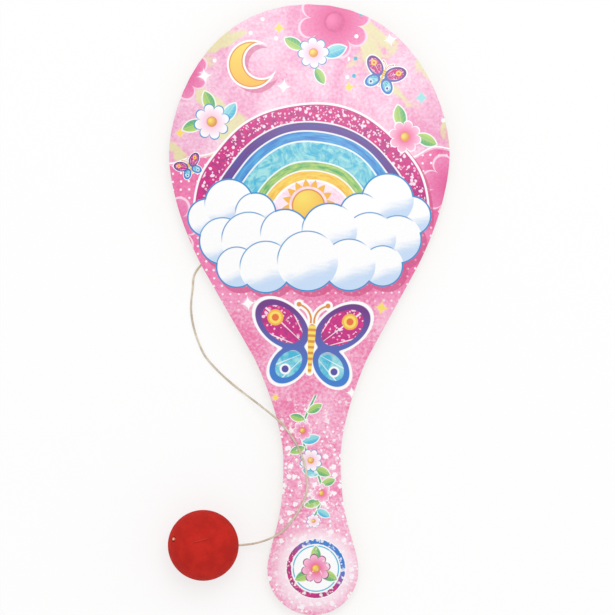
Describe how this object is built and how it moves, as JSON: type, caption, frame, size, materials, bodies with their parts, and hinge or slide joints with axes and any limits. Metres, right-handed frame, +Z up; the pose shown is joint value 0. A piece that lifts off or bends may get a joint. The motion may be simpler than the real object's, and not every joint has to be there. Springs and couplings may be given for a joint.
{
  "type": "paddle ball game",
  "caption": "Small wooden bat with a printed face and a rubber ball held to it by a long elastic stapled to its back; the ball flies off and springs back.",
  "frame": {"origin": "on the table, under the middle of the bat's length, on the bat's middle line", "axes": "+Y along the bat from the handle to the head, +X to the right seen from above, +Z up out of the printed face"},
  "size_m": [0.1024, 0.22, 0.0254],
  "materials": {
    "face_veneer": "sanded pale veneer, unvarnished",
    "core_veneer": "rotary cut core veneer, end grain at the edge",
    "printed_paper": "printed paper under a clear gloss film",
    "staple_wire": "bright galvanised wire",
    "elastic_rubber": "matte natural rubber",
    "ball_rubber": "matte red moulded rubber"
  },
  "bodies": {
    "bat": {"back_ply": "face_veneer", "core_ply": "core_veneer", "front_ply": "face_veneer", "print_sheet": "printed_paper", "staple": "staple_wire", "elastic_anchor": "elastic_rubber", "elastic_cord": "elastic_rubber"},
    "cord_end": {"elastic_core": "elastic_rubber", "ball_knot": "elastic_rubber"},
    "ball": {"ball": "ball_rubber"}
  },
  "joints": [
    {"name": "ball_flight", "type": "slide", "parent": "bat", "child": "cord_end", "axis": [0.14, 0.4998, 0.8547], "range_m": [0, 0.28]},
    {"name": "ball_spin", "type": "hinge", "parent": "cord_end", "child": "ball", "pos_m": [-0.0392, -0.0829, 0.0127], "axis": [-0.8398, 0.118, 0.5299], "continuous": true}
  ]
}
